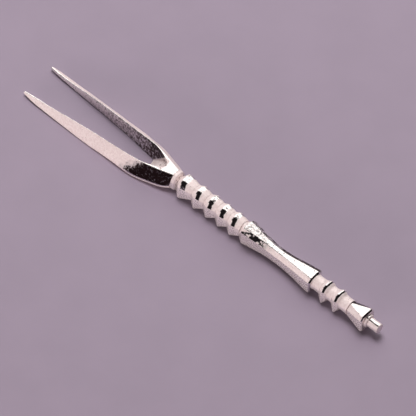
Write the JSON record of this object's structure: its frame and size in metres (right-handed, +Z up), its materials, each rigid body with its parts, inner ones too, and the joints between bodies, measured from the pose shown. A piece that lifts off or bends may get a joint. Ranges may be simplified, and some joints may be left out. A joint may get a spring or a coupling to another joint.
{
  "type": "toasting fork",
  "caption": "Long two-tined fork for toasting over a fire, with a stacked cast handle of faceted beads, a waisted grip and a tail peg.",
  "frame": {"origin": "under the middle of the fork's length, on the surface it rests on", "axes": "+X along the fork towards the tine tips, +Y across it, +Z up"},
  "size_m": [0.46, 0.0488, 0.0225],
  "materials": {
    "bright_cast": "polished casting with fine pits",
    "bright_turned": "polished, turned",
    "tang_steel": "drawn bar"
  },
  "bodies": {
    "root": {"fork_head": "bright_cast", "front_collar": "bright_turned", "bead_1": "bright_cast", "bead_2": "bright_cast", "bead_3": "bright_cast", "bead_4": "bright_cast", "bead_5": "bright_cast", "grip": "bright_cast", "spool_1": "bright_turned", "ring_1": "bright_cast", "spool_2": "bright_turned", "ring_2": "bright_cast", "spool_3": "bright_turned", "pommel": "bright_cast", "tail_washer": "bright_turned", "tang_nut": "bright_turned", "tang_rod": "tang_steel"}
  },
  "joints": []
}
